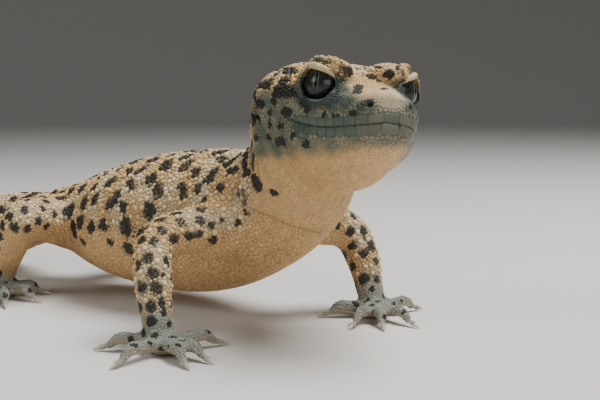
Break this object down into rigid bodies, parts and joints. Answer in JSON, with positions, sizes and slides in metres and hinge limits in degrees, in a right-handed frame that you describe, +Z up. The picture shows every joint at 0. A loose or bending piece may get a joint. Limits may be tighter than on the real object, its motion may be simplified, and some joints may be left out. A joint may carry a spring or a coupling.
{
  "type": "leopard gecko",
  "caption": "Life-size still model of a leopard gecko standing on its four feet, head raised and turned to its right, with the fat tail resting on the ground behind.",
  "frame": {"origin": "on the floor, under the middle of the whole animal's box", "axes": "+X forward along the hips, toward the head; +Y to the animal's left; +Z up"},
  "size_m": [0.1864, 0.0832, 0.0491],
  "materials": {
    "body_skin": "matt sandy skin with raised granular scales and dark spots",
    "head_skin": "matt yellow cream skin with fine scales and dark spots",
    "foot_skin": "matt pale blue grey skin",
    "eye": "wet gloss over a silver grey iris with a slit pupil",
    "claw": "satin horn"
  },
  "bodies": {
    "root": {"head": "head_skin", "lower_jaw": "head_skin", "neck": "body_skin", "trunk": "body_skin", "tail_base": "body_skin", "tail_middle": "body_skin", "tail_tip": "body_skin", "eye_left": "eye", "eye_right": "eye", "front_right_upper_arm": "body_skin", "front_right_forearm": "body_skin", "front_right_hand": "foot_skin", "front_right_claw_1": "claw", "front_right_claw_2": "claw", "front_right_claw_3": "claw", "front_right_claw_4": "claw", "front_right_claw_5": "claw", "front_left_upper_arm": "body_skin", "front_left_forearm": "body_skin", "front_left_hand": "foot_skin", "front_left_claw_1": "claw", "front_left_claw_2": "claw", "front_left_claw_3": "claw", "front_left_claw_4": "claw", "front_left_claw_5": "claw", "hind_right_thigh": "body_skin", "hind_right_shank": "body_skin", "hind_right_foot": "foot_skin", "hind_right_claw_1": "claw", "hind_right_claw_2": "claw", "hind_right_claw_3": "claw", "hind_right_claw_4": "claw", "hind_right_claw_5": "claw", "hind_left_thigh": "body_skin", "hind_left_shank": "body_skin", "hind_left_foot": "foot_skin", "hind_left_claw_1": "claw", "hind_left_claw_2": "claw", "hind_left_claw_3": "claw", "hind_left_claw_4": "claw", "hind_left_claw_5": "claw"}
  },
  "joints": []
}
